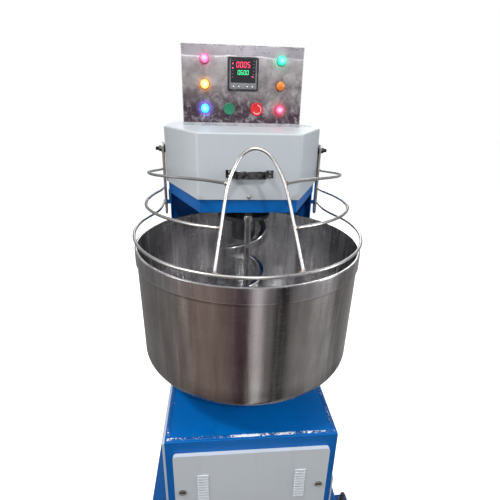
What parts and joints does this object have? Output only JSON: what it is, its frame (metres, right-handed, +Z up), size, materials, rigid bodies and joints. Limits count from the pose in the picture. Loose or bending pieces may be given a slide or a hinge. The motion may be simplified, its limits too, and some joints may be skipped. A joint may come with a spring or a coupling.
{
  "type": "spiral dough mixer",
  "caption": "Free-standing spiral dough mixer: welded base, recessed column, faceted head with control box, turning bowl, spiral, breaker bar and lifting rod guard.",
  "frame": {"origin": "on the floor, in the middle of the whole footprint", "axes": "+Z up, -Y towards the operator and the bowl, +X to the operator's right"},
  "size_m": [0.728, 0.9315, 1.515],
  "materials": {
    "blue_paint": "semi-gloss brushed-on enamel over welded sheet",
    "white_paint": "light grey-white powder coat, satin",
    "stainless": "worn brushed stainless steel",
    "bright_steel": "polished stainless rod and bar",
    "dark_steel": "dark oiled steel",
    "cast_grey": "machined casting",
    "motor_grey": "grey enamel",
    "black_plastic": "moulded, matt",
    "rubber": "matt rubber",
    "green_plastic": "moulded",
    "red_plastic": "moulded",
    "lamp_pink": "lit lens",
    "lamp_green": "lit lens",
    "lamp_yellow": "lit lens",
    "lamp_orange": "unlit lens",
    "lamp_blue": "lit lens",
    "lamp_red": "lit lens"
  },
  "bodies": {
    "machine": {"plinth_frame": "blue_paint", "base_housing": "blue_paint", "column_shell": "blue_paint", "head_frame": "blue_paint", "guard_stop_left": "blue_paint", "guard_stop_right": "blue_paint", "front_panel": "white_paint", "side_cover_left": "white_paint", "side_cover_right": "white_paint", "rear_cover": "white_paint", "hood_cover": "white_paint", "control_box": "stainless", "breaker_bar": "bright_steel", "hood_handle": "dark_steel", "guard_pivot_left": "dark_steel", "guard_pivot_right": "dark_steel", "bowl_bearing_housing": "cast_grey", "spiral_bearing_housing": "cast_grey", "bowl_motor": "motor_grey", "spiral_motor": "motor_grey", "cable_gland": "black_plastic", "timer_housing": "black_plastic", "guard_switch": "black_plastic", "levelling_foot_front_left": "rubber", "levelling_foot_front_right": "rubber", "levelling_foot_rear_left": "rubber", "levelling_foot_rear_right": "rubber", "bowl_belt": "rubber", "spiral_belt": "rubber", "pilot_lamp_top_left": "lamp_pink", "pilot_lamp_top_right": "lamp_green", "pilot_lamp_middle_left": "lamp_yellow", "pilot_lamp_middle_right": "lamp_orange", "pilot_lamp_bottom_left": "lamp_blue", "pilot_lamp_bottom_right": "lamp_red"},
    "bowl": {"mixing_bowl": "stainless", "bowl_hub": "cast_grey", "bowl_pulley": "cast_grey"},
    "bowl_motor_rotor": {"bowl_motor_pulley": "cast_grey"},
    "spiral": {"spiral_tool": "stainless", "spiral_shaft": "dark_steel", "spiral_pulley": "cast_grey"},
    "spiral_motor_rotor": {"spiral_motor_pulley": "cast_grey"},
    "guard": {"guard_arm_left": "bright_steel", "guard_arm_right": "bright_steel", "guard_lower_ring": "bright_steel", "guard_middle_ring_left": "bright_steel", "guard_middle_ring_right": "bright_steel", "guard_top_ring_left": "bright_steel", "guard_top_ring_right": "bright_steel", "guard_loop": "bright_steel"},
    "start_button": {"start_button": "green_plastic"},
    "emergency_stop_button": {"emergency_stop_button": "red_plastic"},
    "panel_lock_left": {"panel_lock_left": "dark_steel"},
    "panel_lock_right": {"panel_lock_right": "dark_steel"},
    "timer_key_1": {"timer_key_1": "bright_steel"},
    "timer_key_2": {"timer_key_2": "bright_steel"},
    "timer_key_3": {"timer_key_3": "bright_steel"},
    "timer_key_4": {"timer_key_4": "bright_steel"}
  },
  "joints": [
    {"name": "bowl_spin", "type": "hinge", "parent": "machine", "child": "bowl", "pos_m": [0, -0.16, 0.5], "axis": [0, 0, 1], "continuous": true},
    {"name": "bowl_motor_spin", "type": "hinge", "parent": "machine", "child": "bowl_motor_rotor", "pos_m": [0, 0.24, 0.4], "axis": [0, 0, 1], "continuous": true},
    {"name": "spiral_spin", "type": "hinge", "parent": "machine", "child": "spiral", "pos_m": [0, 0.005, 1], "axis": [0, 0, 1], "continuous": true},
    {"name": "spiral_motor_spin", "type": "hinge", "parent": "machine", "child": "spiral_motor_rotor", "pos_m": [0, 0.305, 1.2], "axis": [0, 0, 1], "continuous": true},
    {"name": "guard_lift", "type": "hinge", "parent": "machine", "child": "guard", "pos_m": [0, 0.097, 1.213], "axis": [-1, 0, 0], "range_deg": [0, 75]},
    {"name": "start_button_press", "type": "slide", "parent": "machine", "child": "start_button", "axis": [0, 1, 0], "range_m": [0, 0.004], "stiffness_N_per_m": 400},
    {"name": "emergency_stop_press", "type": "slide", "parent": "machine", "child": "emergency_stop_button", "axis": [0, 1, 0], "range_m": [0, 0.005]},
    {"name": "panel_lock_left_turn", "type": "hinge", "parent": "machine", "child": "panel_lock_left", "pos_m": [-0.1815, -0.436, 0.396], "axis": [0, -1, 0], "range_deg": [0, 90]},
    {"name": "panel_lock_right_turn", "type": "hinge", "parent": "machine", "child": "panel_lock_right", "pos_m": [0.1815, -0.436, 0.396], "axis": [0, -1, 0], "range_deg": [0, 90]},
    {"name": "timer_key_1_press", "type": "slide", "parent": "machine", "child": "timer_key_1", "axis": [0, 1, 0], "range_m": [0, 0.0012], "stiffness_N_per_m": 200},
    {"name": "timer_key_2_press", "type": "slide", "parent": "machine", "child": "timer_key_2", "axis": [0, 1, 0], "range_m": [0, 0.0012], "stiffness_N_per_m": 200},
    {"name": "timer_key_3_press", "type": "slide", "parent": "machine", "child": "timer_key_3", "axis": [0, 1, 0], "range_m": [0, 0.0012], "stiffness_N_per_m": 200},
    {"name": "timer_key_4_press", "type": "slide", "parent": "machine", "child": "timer_key_4", "axis": [0, 1, 0], "range_m": [0, 0.0012], "stiffness_N_per_m": 200}
  ],
  "couplings": [
    {"joint": "bowl_motor_spin", "follows": "bowl_spin", "ratio": 3},
    {"joint": "spiral_motor_spin", "follows": "spiral_spin", "ratio": 3}
  ]
}
